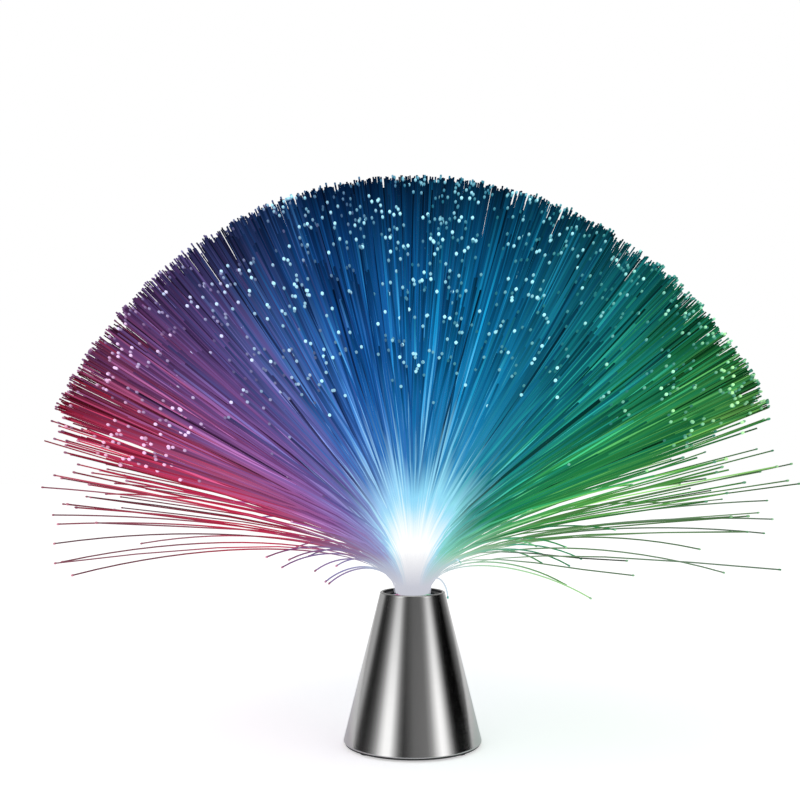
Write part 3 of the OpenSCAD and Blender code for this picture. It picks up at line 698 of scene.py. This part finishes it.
def fibre_piece(name, chosen, material, hues, full_radius=FIBRE_RADIUS):
    """Some fibres as one mesh: their tubes and the shining ends. Their hues lie from the first
    to the last step that hues gives."""
    line, way, azimuth, hue, shade, spark = chosen
    count, rows = line.shape[:2]
    between = np.linalg.norm(np.diff(line, axis=1), axis=-1)
    length = np.concatenate([np.zeros((count, 1)), np.cumsum(between, 1)], 1)
    thick = part_way(length, 0, np.minimum(80 * MM, 0.35 * length[:, -1:]))
    radius = ROOT_RADIUS + (full_radius - ROOT_RADIUS) * thick
    tubes = tube_rows(line, way, azimuth, radius, CORNERS)

    shines = spark > 0
    past, wide, lit = np.array(BEAD_ROWS).T
    wide = wide * BEAD_RADIUS * (0.72 + 0.28 * spark[shines])[:, None]
    bead_line = line[shines, -1:, :] + past[None, :, None] * MM * way[shines, -1:, :]
    bead_way = np.repeat(way[shines, -1:, :], len(past), 1)
    beads = tube_rows(bead_line, bead_way, azimuth[shines], wide, BEAD_CORNERS)

    faces = []
    for i in range(count):
        faces += tube_faces(i * rows * CORNERS, rows, CORNERS)
    start = count * rows * CORNERS
    for i in range(len(beads)):
        faces += tube_faces(start + i * len(past) * BEAD_CORNERS, len(past), BEAD_CORNERS)
    points = np.concatenate([tubes.reshape(-1, 3), beads.reshape(-1, 3)])
    piece = make_piece(name, points.tolist(), faces, "fibre_head", material,
                       ("fibre_spray",))
    piece.visible_glossy = False

    # near the mouth the colours run together
    apart = np.where(hue < 0.5, 0.72, 0.84)[:, None]
    apart = apart + (1 - apart) * part_way(length, 50 * MM, 100 * MM)
    on_bead = np.ones((len(beads), len(past)))
    store_values(piece, {
        "along": (length / FULL_LENGTH, on_bead),
        "glow": (glow_at(length, hue, shade), 0 * on_bead),
        "hue": (0.5 + (hue[:, None] - 0.5) * apart, on_bead * hue[shines, None]),
        "shade": (np.repeat(shade[:, None], rows, 1), on_bead * shade[shines, None]),
        "tip": (np.zeros((count, rows)), lit * spark[shines, None]),
    })

    # the bake map: along the fibre to the right, and one strip for each hue and shade, with
    # the shining ends behind it, one column for each brightness
    first, last = hues
    strip = ((np.round(hue * HUE_STEPS) - first) * SHADES
             + np.round(shade * (SHADES - 1)))[:, None, None]
    column = np.round(spark * (SPARKS - 1))[shines, None]
    right = 0.9 + (column + 0.1 + 0.8 * np.linspace(0, 1, len(past))) * 0.1 / SPARKS
    store_bake_map(piece, (0.88 * length / FULL_LENGTH, strip), (right, strip[shines]),
                   (last - first + 1) * SHADES)


# Fibres that stand apart, as the photograph shows them: azimuth of the plane they stay in, in
# degrees, radius and height of the tip in mm, how steeply it hangs in degrees, and the hue
STRAYS = [
    (183, 75, 103, 30, 0.16), (187, 48, 94, 40, 0.14), (184, 56, 101, 36, 0.15),
    (186, 50, 95, 39, 0.18), (178, 67, 114, 22, 0.14), (190, 84, 110, 22, 0.15),
    (172, 61, 108, 28, 0.18), (188, 71, 108, 26, 0.13), (176, 44, 103, 34, 0.16),
    (188, 192, 101, 14, 0.08), (184, 200, 107, 12, 0.06), (180, 208, 116, 8, 0.04),
    (176, 160, 115, 10, 0.07), (178, 211, 132, 0, 0.08), (186, 201, 129, 2, 0.10),
    (182, 213, 149, -4, 0.09), (174, 178, 150, -4, 0.12), (187, 174, 146, 0, 0.12),
    (180, 186, 157, -8, 0.13), (170, 92, 130, 8, 0.20), (192, 104, 142, -4, 0.18),
    (-5, 116, 125, 10, 0.80), (-10, 71, 116, 24, 0.85), (-6, 74, 106, 32, 0.85),
    (-3, 90, 104, 30, 0.80), (2, 98, 107, 26, 0.79), (-12, 88, 116, 22, 0.82),
    (-4, 164, 114, 12, 0.93), (-2, 179, 100, 16, 0.97), (-6, 102, 86, 30, 0.95),
    (-3, 88, 93, 30, 0.92), (3, 151, 139, 4, 0.86), (-9, 27.5, 106, 48, 0.72),
    (-14, 20.9, 86, 86, 0.70), (-20, 62, 137, 0, 0.78), (-24, 82, 172, -22, 0.76),
    (-16, 102, 172, -24, 0.80), (-8, 125, 151, -6, 0.82), (-3, 168, 154, -8, 0.88),
    (5, 159, 150, -6, 0.90), (4, 211, 140, -2, 0.97), (-3, 206, 131, 2, 0.98),
    (0, 204, 122, 6, 0.99),
]
STRAY_ROOT = (9.5, ROOT_Z / MM)     # radius and height of their roots in mm


def stray_curves():
    """Centre lines, directions, azimuths and hues of the fibres that stand apart."""
    azimuth, radius, height, slope, hue = np.array(STRAYS, float).T
    azimuth, slope = np.radians(azimuth), np.radians(slope)
    start = np.tile(STRAY_ROOT, (len(radius), 1))
    first = start + np.stack([np.full(len(radius), 2.0), 14 + 0.08 * radius], 1)
    end = np.stack([radius, height], 1)
    pull = 0.5 * np.linalg.norm(end - first, axis=1)
    second = end - pull[:, None] * np.stack([np.cos(slope), -np.sin(slope)], 1)

    def turned(v):
        return np.stack([v[:, 0] * np.cos(azimuth), v[:, 0] * np.sin(azimuth), v[:, 1]], -1) * MM

    line, way = bezier([turned(p) for p in (start, first, second, end)], STRAY_ROWS)
    return line, way, azimuth, hue


def light_of(tip, tone):
    """Hue, shade and spark of each fibre, from where its tip is, its tuft's tone and chance."""
    count = len(tip)
    points_to = np.degrees(np.arctan2(tip[:, 0], np.maximum(tip[:, 2] - ROOT_Z, 0)))
    hue = steps(0.5 + points_to / 180 + rng.normal(0, 0.014, count), HUE_STEPS + 1)
    way = unit(tip - [0, 0, ROOT_Z])
    lean = np.degrees(np.arccos(way[:, 2]))
    # a few carry much light, a few nearly none, and the upright ones less than the others
    shade = rng.normal(0.44, 0.07, count)
    kind = rng.random(count)
    shade = np.where(kind < 0.08, 0.7 + 0.3 * rng.random(count), shade)
    shade = np.where(kind > 0.95, 0.15 * rng.random(count), shade) + tone
    shade = steps(shade * (1 - 0.45 * (1 - part_way(lean, 0, 52))), SHADES)
    # the cut ends that point away from the fan's plane are the ones that shine, and the lowest
    # ones show as dull beads
    out = part_way(np.abs(way[:, 1]), 0.08, 0.4)
    low = part_way(np.abs(points_to), 60, 8)
    spark = np.where(rng.random(count) < 0.05 + 0.65 * out * (1 + 4 * tone),
                     (0.3 + 0.7 * out) * (0.12 + 0.88 * rng.random(count) ** 1.4) + 2 * tone, 0)
    spark = np.where(rng.random(count) < low, 0.2 + 0.4 * rng.random(count), spark)
    return hue, shade, steps(spark, SPARKS)


def make_fibres(material):
    ways = [np.concatenate(both) for both in zip(fan_ways(), rim_ways())]
    root, lean, azimuth, reach, tone = ways
    line, way = fibre_curves(root, lean, azimuth, reach)
    hue, shade, spark = light_of(line[:, -1], tone)
    shade[-RIM_FIBRES:] = steps(0.3 * rng.random(RIM_FIBRES), SHADES)
    dull = np.where(rng.random(RIM_FIBRES) < 0.6, 0.3, 0)
    spark[-RIM_FIBRES:] = steps(dull * rng.random(RIM_FIBRES), SPARKS)
    size = HUE_STEPS // len(GROUPS)
    group = np.minimum(np.round(hue * HUE_STEPS) // size, len(GROUPS) - 1)
    for g, name in enumerate(GROUPS):
        chosen = [values[group == g] for values in (line, way, azimuth, hue, shade, spark)]
        fibre_piece(f"{name}_fibres", chosen, material, (g * size, (g + 1) * size))

    line, way, azimuth, hue = stray_curves()
    _, shade, _ = light_of(line[:, -1], 0)
    hue = steps(hue, HUE_STEPS + 1)
    spark = steps(0.3 + 0.4 * rng.random(len(hue)), SPARKS)
    fibre_piece("stray_fibres", (line, way, azimuth, hue, shade, spark), material,
                (0, HUE_STEPS), STRAY_RADIUS)


# ---------- stage and light ----------

FLOOR_HALF = 3.0
FLOOR_GREY = 0.8
FLOOR_LIFT = 0.5        # light that the floor adds where the camera sees it
FLOOR_MIRRORED = 0.2    # how much of that metal and glass send on
WORLD_LIGHT = 0.7
WORLD_LIFT = 0.3        # light that the background adds where it's seen or mirrored
LIT_POINT = (0, 0, 0.1)


def stage_object(name, points, faces, material):
    thing = add_object(name, new_mesh(name, points, faces, material))
    return thing


def camera_and_mirror_rays(nodes, links, mirrored=1.0):
    """1 for rays from the camera, and this much for those that metal and glass send on."""
    path = nodes.new("ShaderNodeLightPath")
    sent_on = math_node(nodes, links, "MAXIMUM", path.outputs["Is Glossy Ray"],
                        path.outputs["Is Transmission Ray"])
    return math_node(nodes, links, "MULTIPLY_ADD", sent_on, mirrored,
                     path.outputs["Is Camera Ray"])


def make_floor():
    """A plain pale floor that keeps a soft shadow. Nothing of it shows from below."""
    material, nodes, links, surface = bare_material("pale_floor")
    diffuse = nodes.new("ShaderNodeBsdfDiffuse")
    diffuse.inputs["Color"].default_value = (*grey(FLOOR_GREY), 1)
    lift = nodes.new("ShaderNodeEmission")
    seen = camera_and_mirror_rays(nodes, links, FLOOR_MIRRORED)
    links.new(math_node(nodes, links, "MULTIPLY", seen, FLOOR_LIFT), lift.inputs["Strength"])
    both = nodes.new("ShaderNodeAddShader")
    links.new(diffuse.outputs[0], both.inputs[0])
    links.new(lift.outputs[0], both.inputs[1])
    clear = nodes.new("ShaderNodeBsdfTransparent")
    choose = nodes.new("ShaderNodeMixShader")
    side = nodes.new("ShaderNodeNewGeometry")
    links.new(side.outputs["Backfacing"], choose.inputs[0])
    links.new(both.outputs[0], choose.inputs[1])
    links.new(clear.outputs[0], choose.inputs[2])
    links.new(choose.outputs[0], surface)
    points = [(sx * FLOOR_HALF, sy * FLOOR_HALF, 0)
              for sx, sy in ((-1, -1), (1, -1), (1, 1), (-1, 1))]
    stage_object("floor", points, [(0, 1, 2, 3)], material)


# Panels round the set, by azimuth from straight behind the camera, in degrees to the right:
# grey levels that the steel shows as its light and dark bands
PANELS = [
    (-180, 0.5), (-140, 0.5), (-120, 0.5), (-112, 0.28), (-104, 0.06), (-92, 0.02), (-80, 0.08),
    (-72, 0.22), (-64, 0.5), (-56, 1.1), (-49, 1.55), (-39, 1.6), (-32, 0.8), (-24, 0.2),
    (-16, 0.04), (-8, 0.1), (2, 0.19), (24, 0.23), (33, 0.45), (42, 1.1), (49, 1.6), (56, 1.4),
    (66, 0.5), (74, 0.06), (82, 0.0), (104, 0.0), (112, 0.06), (128, 0.2), (144, 0.5), (180, 0.5),
]
# The panels' contrast by height, in metres
PANEL_CONTRAST = [(-0.6, 1.0), (0.34, 1.0), (0.42, 0.85), (0.5, 0.66), (0.6, 0.45), (0.68, 0.35),
                  (3.4, 0.35)]
PANEL_MIDDLE = 0.15
PANEL_SIDES = 360
PANEL_DISTANCE = 1.6


def make_panels():
    """A round curtain of grey panels that only mirror rays see."""
    material, nodes, links, surface = bare_material("panels")
    light = nodes.new("ShaderNodeEmission")
    links.new(attribute(nodes, "level"), light.inputs["Strength"])
    links.new(light.outputs[0], surface)
    azimuths = np.linspace(-180, 180, PANEL_SIDES, endpoint=False)
    points = [(PANEL_DISTANCE * math.sin(math.radians(a)),
               -PANEL_DISTANCE * math.cos(math.radians(a)), z)
              for a in azimuths for z, _ in PANEL_CONTRAST]
    rows = len(PANEL_CONTRAST)
    faces = []
    for i in range(PANEL_SIDES):
        a, b = rows * i, rows * ((i + 1) % PANEL_SIDES)
        faces += [(a + j, b + j, b + j + 1, a + j + 1) for j in range(rows - 1)]
    curtain = stage_object("panels", points, faces, material)
    levels = np.interp(azimuths, *np.array(PANELS).T) - PANEL_MIDDLE
    levels = PANEL_MIDDLE + levels[:, None] * np.array(PANEL_CONTRAST)[:, 1]
    layer = curtain.data.attributes.new("level", "FLOAT", "POINT")
    layer.data.foreach_set("value", levels.reshape(-1).astype(np.float32))
    curtain.visible_camera = False
    curtain.visible_diffuse = False
    curtain.visible_transmission = False
    curtain.visible_volume_scatter = False
    curtain.visible_shadow = False


def make_world():
    world = bpy.data.worlds.new("studio")
    bpy.context.scene.world = world
    world.use_nodes = True
    nodes, links = world.node_tree.nodes, world.node_tree.links
    background = nodes["Background"]
    background.inputs["Color"].default_value = (1, 1, 1, 1)
    seen = camera_and_mirror_rays(nodes, links)
    links.new(math_node(nodes, links, "MULTIPLY_ADD", seen, WORLD_LIFT, WORLD_LIGHT),
              background.inputs["Strength"])


def area_light(name, place, size, watts):
    data = bpy.data.lights.new(name, "AREA")
    data.size = size
    data.energy = watts
    light = add_object(name, data)
    light.location = place
    towards = Vector(LIT_POINT) - Vector(place)
    light.rotation_euler = towards.to_track_quat("-Z", "Y").to_euler()
    light.visible_glossy = False


# ---------- the whole ----------


def dress(node, material):
    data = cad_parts[node].data
    data.materials.clear()
    data.materials.append(material)


make_camera()

black = plastic_material("black_plastic", (0.022, 0.022, 0.024), 0.42)
looks = [
    (black, ["base_plate", "battery_cover"]),
    (plastic_material("frame_plastic", (0.03, 0.03, 0.032), 0.5), ["inner_frame", "battery_tray"]),
    (metal_material("nickel", (0.72, 0.69, 0.63), 0.25),
     ["contact_springs", "end_contacts", "link_contacts", "switch_case", "switch_terminals",
      "led_legs"]),
    (metal_material("zinc", (0.6, 0.61, 0.63), 0.3), ["plate_screws", "board_screws"]),
    (cell_material(), ["battery_left", "battery_middle", "battery_right"]),
    (plastic_material("knob_plastic", (0.01, 0.01, 0.01), 0.35), ["switch_knob"]),
    (board_material(), ["led_board"]),
    (lens_material("red_lens", (0.8, 0.02, 0.05), (1.0, 0.1, 0.2)), ["led_red"]),
    (lens_material("blue_lens", (0.03, 0.1, 0.8), (0.2, 0.45, 1.0)), ["led_blue"]),
    (lens_material("green_lens", (0.03, 0.6, 0.12), (0.2, 1.0, 0.35)), ["led_green"]),
    (plastic_material("resistor", (0.02, 0.02, 0.02), 0.4), ["resistors"]),
    (plastic_material("red_insulation", (0.5, 0.01, 0.01), 0.35), ["lead_red"]),
    (plastic_material("black_insulation", (0.01, 0.01, 0.01), 0.35), ["lead_black"]),
    (plastic_material("white_insulation", (0.7, 0.7, 0.68), 0.35), ["lead_switch"]),
    (foam_material(), ["cover_pad"]),
    (plastic_material("ferrule_plastic", (0.55, 0.57, 0.62), 0.35), ["ferrule"]),
    (bundle_material(), ["fibre_bundle"]),
]
for look, names in looks:
    for name in names:
        dress(name, look)

steel_cone(steel_material())
collar_ring(black)
round_feet(plastic_material("foot_rubber", (0.05, 0.05, 0.052), 0.75, 0.05 * MM))
make_fibres(fibre_material())

make_floor()
make_panels()
make_world()
area_light("key", (-0.9, -1.1, 1.5), 1.0, 9)
area_light("fill", (1.2, -0.7, 0.9), 1.2, 4)
bpy.context.scene.view_settings.view_transform = "Standard"
